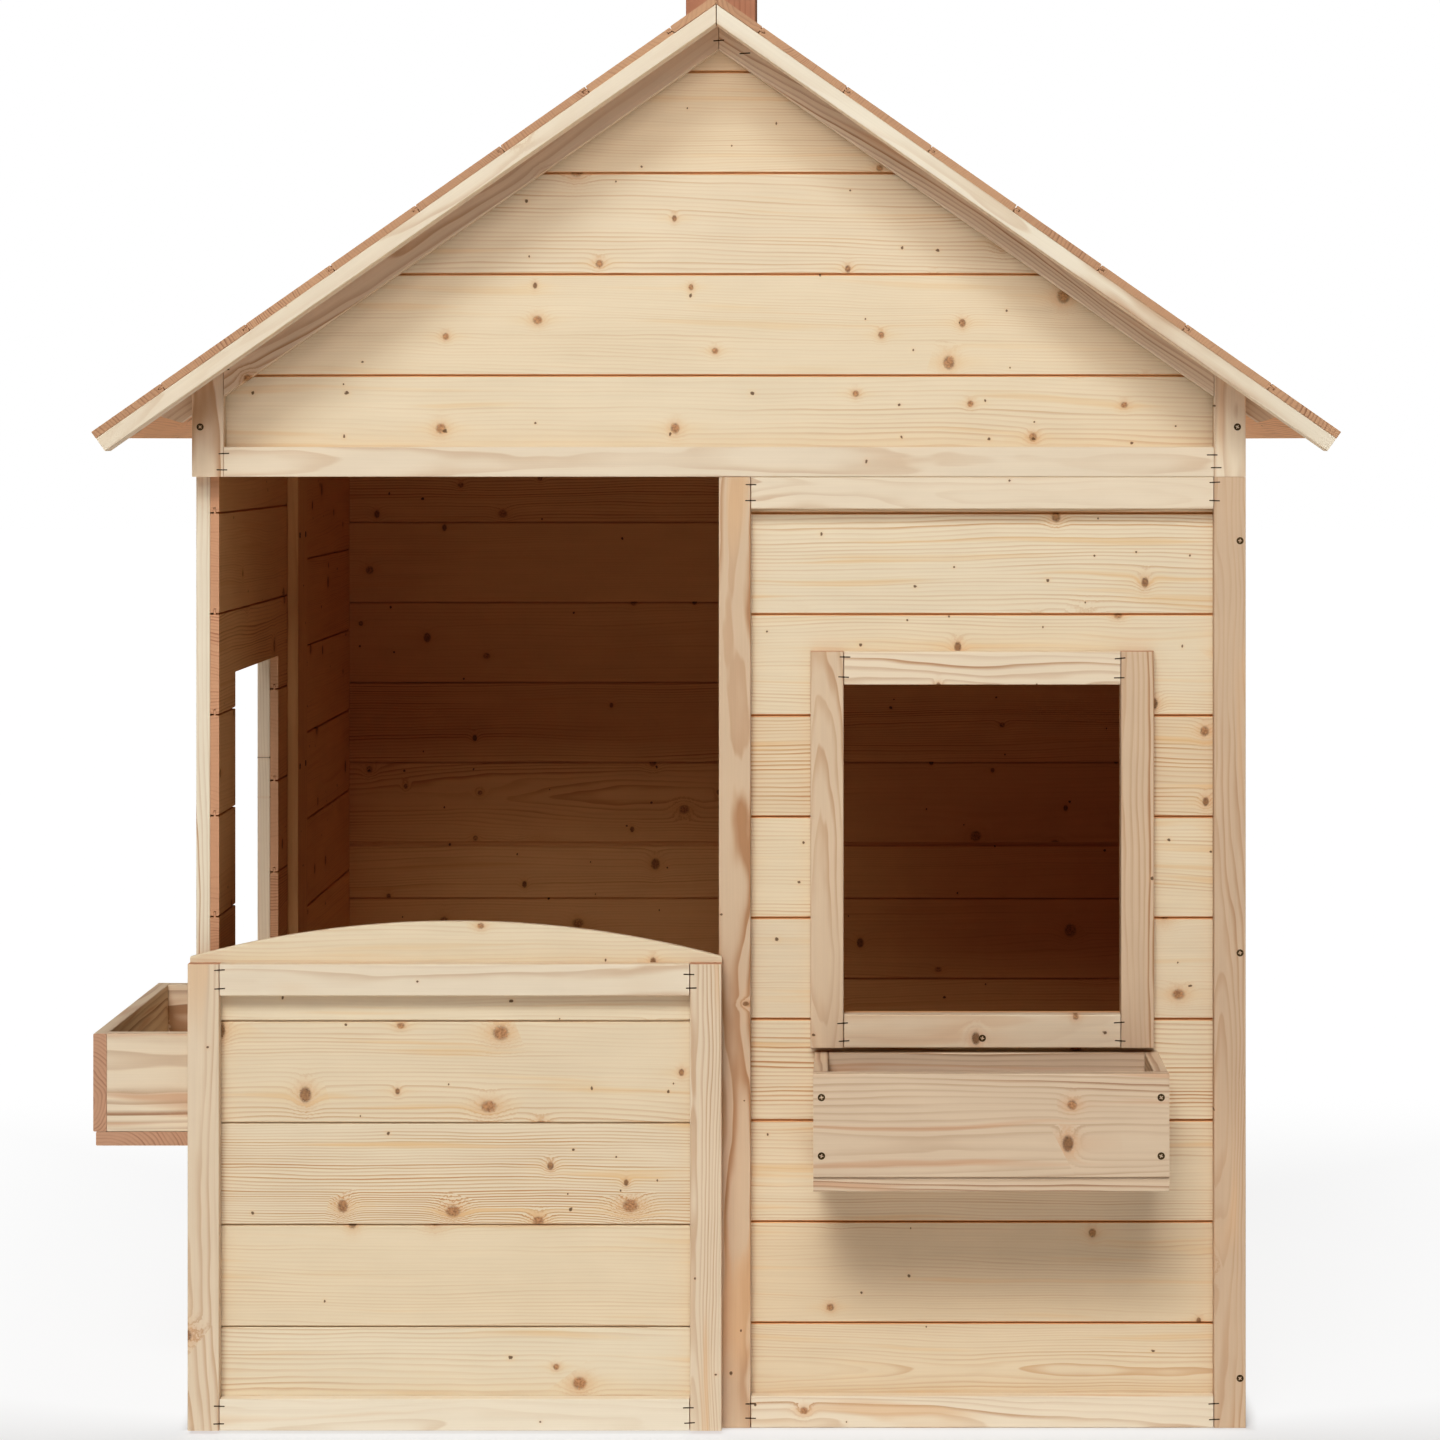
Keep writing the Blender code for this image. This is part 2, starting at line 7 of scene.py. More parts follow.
import bpy
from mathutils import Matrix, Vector


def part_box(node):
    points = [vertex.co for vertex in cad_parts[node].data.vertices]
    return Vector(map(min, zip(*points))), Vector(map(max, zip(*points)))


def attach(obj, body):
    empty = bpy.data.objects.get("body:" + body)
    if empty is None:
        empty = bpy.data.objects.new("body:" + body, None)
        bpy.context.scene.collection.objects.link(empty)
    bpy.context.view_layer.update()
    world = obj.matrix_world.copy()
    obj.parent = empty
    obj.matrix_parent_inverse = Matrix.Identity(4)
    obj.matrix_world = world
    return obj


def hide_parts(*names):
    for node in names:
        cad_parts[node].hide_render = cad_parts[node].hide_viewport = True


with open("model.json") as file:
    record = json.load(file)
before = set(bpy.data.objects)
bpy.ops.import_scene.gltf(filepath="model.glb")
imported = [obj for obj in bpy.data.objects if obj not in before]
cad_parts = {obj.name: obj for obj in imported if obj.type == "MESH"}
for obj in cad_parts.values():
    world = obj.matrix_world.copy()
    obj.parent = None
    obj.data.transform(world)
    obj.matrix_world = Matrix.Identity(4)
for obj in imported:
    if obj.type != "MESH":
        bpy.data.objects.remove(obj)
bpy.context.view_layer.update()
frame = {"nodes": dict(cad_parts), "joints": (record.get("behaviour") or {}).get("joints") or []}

# Lengths are in metres
COVER = 0.115  # visible height of one board
BATTEN = 0.036
WINDOW_BATTEN = 0.0375
DOOR_BATTEN = 0.0355
DOOR_SHOULDER = 0.5345  # where the half door's arch starts, above the floor
FIRST_DOOR_JOINT = 0.117  # the lowest joint between the half door's boards, above the floor
ARCH_STEPS = 40
GABLE_RAIL = 0.034
FIRST_ROOF_BOARD = 0.057  # the board at the ridge is ripped to this
BARGEBOARD = 0.0175
CHAMFER_FROM = 0.010
ROOF_BATTEN = 0.028
ROOF_BATTEN_START = 0.030  # down the slope from the ridge
ROOF_THICKNESS = 0.0085
EAVE_NOTCH = 0.018
TONGUE = 0.006
HAIR = 0.0003  # clearance between pieces that touch
SEAM = 0.0007  # an open joint between two battens
# Inner faces are coloured with painted shade
BEHIND_FACE = 0.0001  # everything deeper than this is an inner face
HEAD_PROUD = 0.0004  # room for the screw heads on the outermost boards
# How far screws stand from the edge of what they hold
PANEL_SCREW = 0.0065
ROOF_SCREW = 0.063
LEAF_SCREW = 0.0062
SLOPE = math.radians(35.0)
TAN, COS, SIN = math.tan(SLOPE), math.cos(SLOPE), math.sin(SLOPE)

UP = Vector((0, 0, 1))
# How each wall's own axes lie: the direction along it, and the direction inwards
FACINGS = {
    "front": (Vector((1, 0, 0)), Vector((0, 1, 0))),
    "right": (Vector((0, 1, 0)), Vector((-1, 0, 0))),
    "rear": (Vector((-1, 0, 0)), Vector((0, -1, 0))),
    "left": (Vector((0, -1, 0)), Vector((1, 0, 0))),
}


# Materials


class Nodes:
    """A small helper for writing node trees as arithmetic. Inputs are sockets or numbers."""

    def __init__(self, name):
        self.material = bpy.data.materials.new(name)
        self.material.use_nodes = True
        self.tree = self.material.node_tree
        self.shader = self.tree.nodes["Principled BSDF"]

    def put(self, socket, value):
        if isinstance(value, bpy.types.NodeSocket):
            self.tree.links.new(value, socket)
        elif socket.type == "RGBA" and len(value) == 3:
            socket.default_value = (*value, 1.0)
        else:
            socket.default_value = value

    def math(self, operation, a, b=None):
        node = self.tree.nodes.new("ShaderNodeMath")
        node.operation = operation
        for socket, value in zip(node.inputs, (a, b)):
            if value is not None:
                self.put(socket, value)
        return node.outputs[0]

    def add(self, a, b):
        return self.math("ADD", a, b)

    def sub(self, a, b):
        return self.math("SUBTRACT", a, b)

    def mul(self, a, b):
        return self.math("MULTIPLY", a, b)

    def div(self, a, b):
        return self.math("DIVIDE", a, b)

    def fit(self, value, low, high, to_low=0.0, to_high=1.0, smooth=False):
        node = self.tree.nodes.new("ShaderNodeMapRange")
        node.interpolation_type = "SMOOTHSTEP" if smooth else "LINEAR"
        node.clamp = True
        for socket, item in zip(node.inputs, (value, low, high, to_low, to_high)):
            self.put(socket, item)
        return node.outputs[0]

    def bell(self, distance, width):
        """exp(-(distance / width)^2)"""
        ratio = self.div(distance, width)
        return self.math("EXPONENT", self.mul(self.mul(ratio, ratio), -1.0))

    def attribute(self, name):
        node = self.tree.nodes.new("ShaderNodeAttribute")
        node.attribute_name = name
        return node.outputs["Vector"]

    def split(self, vector):
        node = self.tree.nodes.new("ShaderNodeSeparateXYZ")
        self.put(node.inputs[0], vector)
        return node.outputs[0], node.outputs[1], node.outputs[2]

    def join(self, x, y, z):
        node = self.tree.nodes.new("ShaderNodeCombineXYZ")
        for socket, item in zip(node.inputs, (x, y, z)):
            self.put(socket, item)
        return node.outputs[0]

    def scaled(self, vector, factors):
        node = self.tree.nodes.new("ShaderNodeVectorMath")
        node.operation = "MULTIPLY"
        self.put(node.inputs[0], vector)
        node.inputs[1].default_value = factors
        return node.outputs[0]

    def noise(self, vector, detail=2.0, roughness=0.5):
        node = self.tree.nodes.new("ShaderNodeTexNoise")
        node.inputs["Scale"].default_value = 1.0
        node.inputs["Detail"].default_value = detail
        node.inputs["Roughness"].default_value = roughness
        self.put(node.inputs["Vector"], vector)
        return node.outputs["Fac"] if "Fac" in node.outputs else node.outputs[0]

    def cells(self, vector):
        """The nearest random point: its place and a random colour."""
        node = self.tree.nodes.new("ShaderNodeTexVoronoi")
        node.voronoi_dimensions = "2D"
        node.feature = "F1"
        node.inputs["Scale"].default_value = 1.0
        self.put(node.inputs["Vector"], vector)
        return node.outputs["Position"], node.outputs["Color"]

    def random(self, value):
        node = self.tree.nodes.new("ShaderNodeTexWhiteNoise")
        node.noise_dimensions = "1D"
        self.put(node.inputs["W"], value)
        return node.outputs["Value"]

    def mix(self, factor, a, b, blend="MIX"):
        node = self.tree.nodes.new("ShaderNodeMix")
        node.data_type = "RGBA"
        node.blend_type = blend
        node.clamp_factor = True
        self.put(node.inputs[0], factor)
        self.put(node.inputs[6], a)
        self.put(node.inputs[7], b)
        return node.outputs[2]

    def grey(self, value):
        node = self.tree.nodes.new("ShaderNodeCombineColor")
        for socket in node.inputs:
            self.put(socket, value)
        return node.outputs[0]

    def bump(self, height, strength, distance):
        node = self.tree.nodes.new("ShaderNodeBump")
        node.inputs["Strength"].default_value = strength
        node.inputs["Distance"].default_value = distance
        self.put(node.inputs["Height"], height)
        self.put(self.shader.inputs["Normal"], node.outputs[0])


def srgb(r, g, b):
    """Linear colour from 0-255 sRGB numbers."""

    def channel(value):
        value /= 255.0
        return value / 12.92 if value <= 0.04045 else ((value + 0.055) / 1.055) ** 2.4

    return channel(r), channel(g), channel(b)


def knots(n, u, v, spacing, share, low, high):
    """Scattered knots: masks of core, rim, halo and streak, how far rings bulge, and a shade."""
    along, across = spacing
    place, colour = n.cells(n.join(n.div(u, along), n.div(v, across), 0.0))
    knot_u, knot_v, _ = n.split(place)
    chance, size, shade = n.split(colour)
    du = n.mul(n.sub(n.div(u, along), knot_u), along)
    dv = n.mul(n.sub(n.div(v, across), knot_v), across)
    ragged = n.noise(n.join(n.mul(u, 330.0), n.mul(v, 330.0), shade), 2.0)
    stretched = n.mul(du, n.fit(shade, 0.0, 1.0, 0.75, 1.5))
    distance = n.math("SQRT", n.add(n.mul(stretched, stretched), n.mul(dv, dv)))
    radius = n.fit(n.mul(size, size), 0.0, 1.0, low, high)
    distance = n.add(distance, n.mul(n.sub(ragged, 0.5), n.mul(radius, 1.5)))
    present = n.math("LESS_THAN", chance, share)
    core = n.mul(present, n.fit(distance, n.mul(radius, 0.62), n.mul(radius, 1.15), 1.0, 0.0, True))
    rim = n.mul(present, n.bell(n.sub(distance, radius), n.mul(radius, 0.24)))
    rim = n.mul(rim, n.fit(ragged, 0.42, 0.60, 0.0, 1.0))
    halo = n.mul(present, n.bell(distance, n.mul(radius, 1.9)))
    streak = n.mul(n.mul(present, n.bell(dv, n.mul(radius, 1.2))), n.bell(du, n.mul(radius, 6.0)))
    bulge = n.mul(n.mul(present, n.mul(radius, 1.7)), n.bell(distance, n.mul(radius, 2.3)))
    return core, rim, halo, streak, bulge, shade


def timber_finish(name, slot, early, late, warm, dark, knot_share=1.0, coarse=1.0, end=False):
    """Softwood: growth rings round a pith, fibres, knots, and a tone for each plank."""
    n = Nodes(name)
    grain = n.attribute("grain")
    u, v, w = n.split(grain)
    tone, figure, knotty = n.split(n.attribute("traits"))

    share = n.mul(n.fit(knotty, 0.0, 1.0, 0.20, 0.70), knot_share)
    core, rim, halo, streak, bulge, shade = knots(n, u, v, (0.100, 0.072), share, 0.0032, 0.0084)
    pin_share = n.mul(n.fit(knotty, 0.0, 1.0, 0.08, 0.40), knot_share)
    pins = knots(n, n.add(u, 7.3), v, (0.052, 0.046), pin_share, 0.0012, 0.0024)
    pin_core, pin_halo = pins[0], pins[2]

    slow = n.noise(n.scaled(grain, (1.5, 9.0, 9.0)), 2.0)
    quick = n.noise(n.scaled(grain, (8.0, 40.0, 40.0)), 2.0)
    radius = n.math("SQRT", n.add(n.mul(v, v), n.mul(w, w)))
    radius = n.add(radius, n.mul(n.sub(slow, 0.5), 0.042))
    radius = n.add(radius, n.mul(n.sub(quick, 0.5), 0.0055))
    radius = n.add(radius, n.mul(u, 0.009))
    if not end:
        radius = n.add(radius, bulge)
    pitch = n.fit(n.math("FRACT", n.mul(tone, 13.7)), 0.0, 1.0, 0.0026 * coarse, 0.0052 * coarse)
    phase = n.div(radius, pitch)
    step = n.math("FRACT", phase)
    ring = n.math("FLOOR", phase)
    strength = n.random(n.add(ring, n.mul(tone, 37.0)))
    band = n.mul(n.fit(step, 0.38, 0.90, 0.0, 1.0, True), n.fit(step, 0.90, 1.0, 1.0, 0.0, True))
    amount = n.mul(band, n.fit(n.mul(strength, strength), 0.0, 1.0, 0.28, 1.0))
    amount = n.mul(amount, n.fit(n.mul(figure, figure), 0.0, 1.0, 0.34, 1.5))
    patch = n.noise(n.scaled(grain, (2.4, 15.0, 15.0)), 2.0)
    amount = n.mul(amount, n.fit(patch, 0.36, 0.62, 0.25, 1.3))
    streaks = n.noise(n.join(n.mul(u, 3.2), n.mul(radius, 95.0), n.mul(w, 20.0)), 1.0)
    glow = n.mul(n.fit(streaks, 0.60, 0.74, 0.0, 1.0, True), n.fit(figure, 0.0, 1.0, 0.25, 0.8))

    colour = n.mix(n.fit(tone, 0.0, 1.0, 0.56, 0.0), early, late)
    colour = n.mix(n.math("FRACT", n.mul(tone, 29.3)), colour, n.mix(0.22, colour, warm))
    colour = n.mix(amount, colour, late)
    colour = n.mix(glow, colour, warm)
    fibre = n.noise(n.scaled(grain, (9.0, 900.0, 900.0)), 2.0, 0.6)
    stripe = n.noise(n.scaled(grain, (2.2, 150.0, 150.0)), 1.0)
    cloud = n.noise(n.scaled(grain, (11.0, 26.0, 26.0)), 2.0)
    value = n.mul(n.fit(fibre, 0.25, 0.75, 0.965, 1.02), n.fit(stripe, 0.25, 0.75, 0.982, 1.012))
    value = n.mul(value, n.fit(cloud, 0.3, 0.7, 0.97, 1.015))
    colour = n.mix(1.0, colour, n.grey(value), "MULTIPLY")
    if not end:
        mottle = n.noise(n.scaled(grain, (420.0, 420.0, 420.0)), 2.0)
        colour = n.mix(n.mul(streak, 0.30), colour, warm)
        colour = n.mix(n.mul(halo, 0.50), colour, srgb(212, 160, 112))
        knot_colour = n.mix(n.fit(mottle, 0.35, 0.65), srgb(196, 146, 100), srgb(136, 92, 60))
        knot_colour = n.mix(n.fit(shade, 0.55, 1.0, 0.0, 0.7), knot_colour, dark)
        colour = n.mix(n.mul(core, 0.80), colour, knot_colour)
        colour = n.mix(n.mul(rim, n.fit(shade, 0.0, 1.0, 0.35, 0.85)), colour, dark)
        colour = n.mix(n.mul(pin_halo, 0.35), colour, warm)
        colour = n.mix(n.mul(pin_core, 0.88), colour, srgb(98, 70, 46))
    n.put(n.shader.inputs["Base Color"], colour)
    n.put(n.shader.inputs["Roughness"], n.fit(n.add(amount, fibre), 0.3, 1.4, 0.66, 0.52))
    n.shader.inputs["Specular IOR Level"].default_value = 0.3
    height = n.add(n.mul(fibre, 0.55), n.mul(amount, 0.5))
    if not end:
        height = n.sub(height, n.mul(rim, 0.8))
    n.bump(height, 0.35, 0.0005)
    n.material["slot"] = slot
    return n.material


def family(slot, early, late, warm, end_early, end_late, inner=None, **options):
    """Planed faces, sawn ends, and a redder, darker copy inside and between boards: painted shade.
    """
    dark = srgb(84, 52, 32)
    face = timber_finish(slot + "_face", slot, early, late, warm, dark, **options)
    end = timber_finish(slot + "_end", slot, end_early, end_late, end_early, dark, end=True)
    if not inner:
        return face, end
    return face, end, timber_finish(slot + "_painted_shade", slot, *inner, dark, **options)


def metal_finish(name, slot, colour, rough, metallic):
    n = Nodes(name)
    coordinates = n.tree.nodes.new("ShaderNodeTexCoord").outputs["Object"]
    fine = n.noise(n.scaled(coordinates, (1600.0, 1600.0, 260.0)), 2.0)
    broad = n.noise(n.scaled(coordinates, (140.0, 140.0, 90.0)), 2.0)
    dull = tuple(c * 0.55 for c in colour)
    n.put(n.shader.inputs["Base Color"], n.mix(n.fit(broad, 0.35, 0.7), colour, dull))
    n.put(n.shader.inputs["Roughness"], n.fit(fine, 0.2, 0.8, rough - 0.10, rough + 0.14))
    n.shader.inputs["Metallic"].default_value = metallic
    n.bump(fine, 0.2, 0.0001)
    n.material["slot"] = slot
    return n.material


# Redder, darker colours for faces inside the house and between boards: painted shade
PAINTED_SHADE_COLOURS = (srgb(238, 190, 142), srgb(198, 140, 96), srgb(222, 168, 120))
BOARDS = family(
    "board_timber",
    srgb(236, 220, 194),
    srgb(200, 156, 112),
    srgb(230, 194, 148),
    srgb(212, 166, 132),
    srgb(176, 122, 90),
    inner=PAINTED_SHADE_COLOURS,
)
BATTENS = family(
    "frame_timber",
    srgb(239, 224, 201),
    srgb(185, 143, 106),
    srgb(222, 184, 146),
    srgb(214, 170, 138),
    srgb(178, 126, 94),
    inner=PAINTED_SHADE_COLOURS,
    knot_share=0.5,
)
ROOF = family(
    "roof_timber",
    srgb(226, 196, 158),
    srgb(192, 146, 104),
    srgb(214, 172, 128),
    srgb(202, 162, 128),
    srgb(150, 106, 78),
    inner=PAINTED_SHADE_COLOURS,
)
PLANTERS = family(
    "planter_timber",
    srgb(237, 219, 194),
    srgb(176, 140, 110),
    srgb(208, 168, 136),
    srgb(200, 160, 132),
    srgb(162, 118, 92),
    knot_share=0.35,
    coarse=2.0,
)
CHIMNEY = family(
    "chimney_timber",
    srgb(198, 146, 116),
    srgb(160, 104, 78),
    srgb(186, 128, 100),
    srgb(176, 122, 96),
    srgb(140, 88, 66),
    knot_share=0.5,
)
STAPLE = metal_finish("staple_wire", "hinge_steel", srgb(78, 62, 44), 0.5, 0.35)
SCREW = metal_finish("screw_steel", "hinge_steel", srgb(96, 76, 48), 0.42, 0.5)
HINGE = metal_finish("hinge_strip", "hinge_steel", srgb(120, 118, 114), 0.42, 0.9)


# Planks

# The third material is a redder, darker copy for inner faces: painted shade
FACE, END, SHADED_FACE = 0, 1, 2  # a piece's materials, in order


def axes(origin, along, across, deep):
    """Maps (u, v, w) on a plank to a point in the scene."""
    return lambda u, v, w: origin + along * u + across * v + deep * w


def signed_volume(points, faces):
    total = 0.0
    for face in faces:
        a = points[face[0]]
        for i in range(1, len(face) - 1):
            total += a.dot(points[face[i]].cross(points[face[i + 1]]))
    return total


class Timber:
    """One piece made of planks, each with its own grain coordinates, in metres, and its own traits.

    Materials: faces, sawn ends, and inner faces in painted shade, deeper than inner_from.
    """

    def __init__(self, name, body, finish, *nodes):
        self.name, self.body, self.finish, self.nodes = name, body, finish, nodes
        self.rng = random.Random(name)
        self.inner_from = 1.0
        self.verts, self.faces, self.kinds, self.grain, self.traits = [], [], [], [], []

    def plank(self, width, figure=None, knotty=None, tone=None):
        """Where the pith lies, and how light, how strongly figured and how knotty the plank is."""
        r = self.rng
        pith = (r.uniform(0, 30), r.uniform(-0.75, 0.25) * width, r.uniform(0.014, 0.06))
        traits = [r.uniform(0.55, 1.0), r.random(), r.random()]
        for i, given in enumerate((tone, figure, knotty)):
            if given is not None:
                traits[i] = given
        return pith, tuple(traits)

    def loft(self, place, stations, plank, caps=(True, True)):
        """Loops of (u, v, w) one after another along a plank."""
        pith, traits = plank
        count = len(stations[0])
        points, grain, faces, kinds = [], [], [], []
        for loop in stations:
            points += [place(*point) for point in loop]
            grain += [(u + pith[0], v + pith[1], w + pith[2]) for u, v, w in loop]
        for s in range(len(stations) - 1):
            a, b = s * count, (s + 1) * count
            for i in range(count):
                j = (i + 1) % count
                faces.append((a + i, a + j, b + j, b + i))
                # Faces deeper than inner_from get the painted shade colour
                inner = max(stations[s][i][2], stations[s][j][2]) > self.inner_from
                kinds.append(SHADED_FACE if inner else FACE)
        for wanted, start, order in ((caps[0], 0, -1), (caps[1], (len(stations) - 1) * count, 1)):
            if wanted:
                first = len(points)
                points += points[start : start + count]
                grain += grain[start : start + count]
                faces.append(tuple(range(first, first + count))[::order])
                kinds.append(END)
        if signed_volume(points, faces) < 0:
            faces = [face[::-1] for face in faces]
        base = len(self.verts)
        self.verts += points
        self.grain += grain
        self.traits += [traits] * len(points)
        self.faces += [tuple(i + base for i in face) for face in faces]
        self.kinds += kinds

    def straight(self, place, profile, start, stop, plank, caps=(True, True)):
        """A (v, w) profile between two cuts. A cut is a distance u, or a function of (v, w)."""
        loops = []
        for cut in (start, stop):
            loops.append([(cut(v, w) if callable(cut) else cut, v, w) for v, w in profile])
        self.loft(place, loops, plank, caps)

    def make(self):
        mesh = bpy.data.meshes.new(self.name)
        mesh.from_pydata(self.verts, [], self.faces)
        for name, rows in (("grain", self.grain), ("traits", self.traits)):
            layer = mesh.attributes.new(name, "FLOAT_VECTOR", "POINT")
            layer.data.foreach_set("vector", [c for row in rows for c in row])
        for material in self.finish:
            mesh.materials.append(material)
        mesh.polygons.foreach_set("material_index", self.kinds)
        mesh.update()
        piece = bpy.data.objects.new(self.name, mesh)
        bpy.context.scene.collection.objects.link(piece)
        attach(piece, self.body)
        if self.nodes:
            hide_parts(*self.nodes)


def eased(width, thick, ease=0.0012, mids=False):
    """A rectangle with rounded corners, as (v, w) points, with the wide sides' middles if mids."""
    points = []
    corners = [(0, 0, 1, 1), (width, 0, -1, 1), (width, thick, -1, -1), (0, thick, 1, -1)]
    for number, (v, w, dv, dw) in enumerate(corners):
        arc = [(1.0, 0.0), (0.293, 0.293), (0.0, 1.0)]
        if number % 2 == 0:
            arc = arc[::-1]
        points += [(v + dv * ease * a, w + dw * ease * b) for a, b in arc]
        if mids and number % 2 == 0:
            points.append((width / 2, w))
    return points


def board_profile(low, high, thick, groove=True, tongue=True, ease=0.0008, gap=0.0009):
    """A tongue-and-groove board between two heights, as (v, w) points. A plain edge is sawn."""
    a, b, c = thick * 0.36, thick * 0.64, ease
    points = []
    if groove:
        points += [(low + gap + c, 0.0), (low + gap, c), (low + gap, a), (low + TONGUE, a)]
        points += [(low + TONGUE, b), (low + gap, b)]
        points += [(low + gap, thick - c), (low + gap + c, thick)]
    else:
        points += [(low, 0.0), (low, thick)]
    if tongue:
        points += [(high - gap - c, thick), (high - gap, thick - c), (high - gap, b - 0.0002)]
        points += [(high + 0.0052, b - 0.0004), (high + 0.0052, a + 0.0004)]  # short of the groove
        points += [(high - gap, a + 0.0002), (high - gap, c), (high - gap - c, 0.0)]
    else:
        points += [(high, thick), (high, 0.0)]
    return points


def wall_corner(node, facing):
    """The outer low corner of a node on a wall, and its length, depth and height."""
    low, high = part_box(node)
    along, inward = FACINGS[facing]
    size = high - low
    corner = Vector(
        (
            low.x if along.x + inward.x > 0 else high.x,
            low.y if along.y + inward.y > 0 else high.y,
            low.z,
        )
    )
    return corner, abs(size.dot(along)), abs(size.dot(inward)), size.z


def level(corner, facing, z=0.0):
    """A plank lying along a wall: u along the wall, v up, w inwards."""
    along, inward = FACINGS[facing]
    return axes(corner + UP * z, along, UP, inward)


def upright(corner, facing, x=0.0):
    """A plank standing on a wall: u up, v along the wall, w inwards."""
    along, inward = FACINGS[facing]
    return axes(corner + along * x, UP, along, inward)


def frame_piece(node, facing, body="house", width=BATTEN, tones=(None, None), figures=(None, None)):
    """Two stiles and two rails, with staples over the joints. tones and figures are the stiles'."""
    corner, length, depth, height = wall_corner(node, facing)
    piece = Timber(node.replace("_frame", "_battens"), body, BATTENS, node)
    profile = eased(width, depth)
    for x, tone, figure in zip((0.0, length - width), tones, figures):
        plank = piece.plank(width, tone=tone, figure=figure or piece.rng.uniform(0.45, 1.0))
        piece.straight(upright(corner, facing, x), profile, 0.0, height, plank)
    for z in (0.0, height - width):
        tone = piece.rng.uniform(0.82, 1.0)
        plank = piece.plank(width, tone=tone, figure=piece.rng.uniform(0.2, 0.75))
        place = level(corner, facing, z)
        piece.straight(place, profile, width + SEAM, length - width - SEAM, plank)
    piece.make()
    for x in (width, length - width):
        for z in (0.0, height - width):
            for share in (0.24, 0.76):
                STAPLES[body].append((corner, facing, x, z + share * width))


def joints_below(height, first=COVER):
    """The heights of the joints between boards, below the top."""
    found, z = [], first
    while z < height - 0.003:
        found.append(z)
        z += COVER
    return found


def board_piece(node, facing, joints=None, hole=None):
    """Boards one above another. They are cut away at the hole, (x0, x1, z0, z1) from the corner."""
    corner, length, depth, height = wall_corner(node, facing)
    piece = Timber(node + "_looks", "house", BOARDS, node)
    piece.inner_from = BEHIND_FACE
    edges = [0.0] + (joints or joints_below(height)) + [height]
    for number, (low, high) in enumerate(zip(edges, edges[1:])):
        plank = piece.plank(COVER)
        groove, tongue = number > 0 or node in ON_TOP, number < len(edges) - 2 or node in UNDER
        place = level(corner, facing)
        whole = board_profile(low, high, depth, groove, tongue)
        if not hole or high <= hole[2] or low >= hole[3]:
            piece.straight(place, whole, 0.0, length, plank)
            continue
        x0, x1, z0, z1 = hole
        piece.straight(place, whole, 0.0, x0, plank)
        piece.straight(place, whole, x1, length, plank)
        if low < z0 - 0.001:
            below = board_profile(low, z0, depth, groove, False)
            piece.straight(place, below, x0, x1, plank, (False, False))
        if high > z1 + 0.001:
            above = board_profile(z1, high, depth, False, tongue)
            piece.straight(place, above, x0, x1, plank, (False, False))
    piece.make()


# The rear wall's upper panels stand on its lower ones, tongue in groove
ON_TOP = ("rear_upper_left_panel_boards", "rear_upper_right_panel_boards")
UNDER = ("rear_lower_left_panel_boards", "rear_lower_right_panel_boards")
# Filled while the timber is built: where the fixings go, as (corner, facing, x, z)
STAPLES = {"house": [], "half_door": []}
SCREWS = []
ROOF_SCREWS = []  # (centre, outward)


def window_hole(node, opening, facing):
    """The opening inside a window's frame: (x0, x1, z0, z1) from the corner of the boards."""
    corner, _, _, _ = wall_corner(node, facing)
    other, length, _, height = wall_corner(opening, facing)
    along, _ = FACINGS[facing]
    edge = WINDOW_BATTEN
    x, z = (other - corner).dot(along), other.z - corner.z
    return x + edge, x + length - edge, z + edge, z + height - edge


def build_walls():
    frame_piece("front_panel_frame", "front", tones=(0.12, 0.0), figures=(1.0, 0.95))
    hole = window_hole("front_panel_boards", "front_window_frame", "front")
    board_piece("front_panel_boards", "front", hole=hole)
    tones, figures = (0.30, 0.12), (0.7, 0.8)
    frame_piece("front_window_frame", "front", width=WINDOW_BATTEN, tones=tones, figures=figures)
    for side in ("left", "right"):
        for end in ("front", "rear"):
            name = f"{side}_{end}_panel"
            frame_piece(name + "_frame", side)
            hole = None
            if name == "left_front_panel":
                hole = window_hole(name + "_boards", "left_window_frame", side)
            height = wall_corner(name + "_boards", side)[3]
            joints = joints_below(height)
            if end == "rear":
                joints = sorted(height - joint for joint in joints)
            board_piece(name + "_boards", side, joints=joints, hole=hole)
    frame_piece("left_window_frame", "left", width=WINDOW_BATTEN)
    for height in ("lower", "upper"):
        for side in ("left", "right"):
            name = f"rear_{height}_{side}_panel"
            frame_piece(name + "_frame", "rear")
            board_piece(name + "_boards", "rear")
    for name, facing in (("left", "left"), ("right", "right"), ("rear", "rear")):
        single_upright(f"{name}_joint_batten", facing)
    single_upright("door_post", "front", inside=False, tone=0.02, figure=1.0)


def single_upright(node, facing, inside=True, tone=None, figure=0.8):
    """One batten standing on its own. An inside one has inner faces all round, all in painted
    shade.
    """
    corner, length, depth, height = wall_corner(node, facing)
    piece = Timber(node + "_looks", "house", BATTENS, node)
    if inside:
        piece.inner_from = -1.0
    plank = piece.plank(length, tone=tone, figure=figure)
    piece.straight(upright(corner, facing), eased(length, depth), 0.0, height, plank)
    piece.make()


# Gables and roof


def roof_apex():
    """The underside of the roof boards at the ridge: its X and Z."""
    _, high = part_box("right_front_bargeboard")
    low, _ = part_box("left_front_bargeboard")
    return (low.x + high.x) / 2, high.z + HAIR


